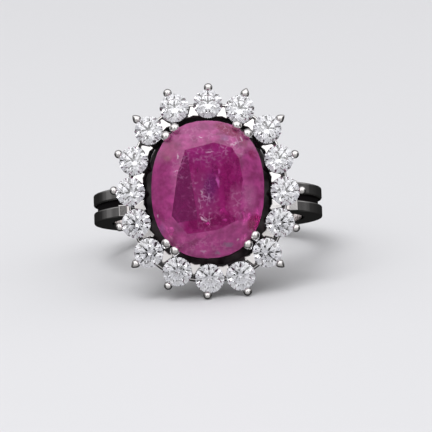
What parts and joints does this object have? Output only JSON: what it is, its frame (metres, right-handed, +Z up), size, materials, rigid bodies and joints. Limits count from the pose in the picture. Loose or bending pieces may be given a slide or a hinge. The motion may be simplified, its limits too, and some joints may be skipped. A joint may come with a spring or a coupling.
{
  "type": "ruby ring",
  "caption": "Cluster ring with a claw-set cushion ruby in a halo of round brilliants on a double-band white metal shank, lying on its side.",
  "frame": {"origin": "centre of the finger hole, on its axis at the middle of the shank's width", "axes": "+Z up from the surface the ring lies on; the head of the ring faces -Y and leans back about 19 degrees; +X to the right of a viewer who looks at the head; the ring stands on its lowest outer claw and the back edge of its shank"},
  "size_m": [0.0202, 0.0267, 0.0174],
  "materials": {
    "white_gold": "polished rhodium-plated white gold",
    "ruby": "polished, milky magenta red with fine inclusions",
    "diamond": "polished, colourless"
  },
  "bodies": {
    "root": {"ring_mount": "white_gold", "ruby": "ruby", "diamond_01": "diamond", "diamond_02": "diamond", "diamond_03": "diamond", "diamond_04": "diamond", "diamond_05": "diamond", "diamond_06": "diamond", "diamond_07": "diamond", "diamond_08": "diamond", "diamond_09": "diamond", "diamond_10": "diamond", "diamond_11": "diamond", "diamond_12": "diamond", "diamond_13": "diamond", "diamond_14": "diamond", "diamond_15": "diamond", "diamond_16": "diamond"}
  },
  "joints": []
}
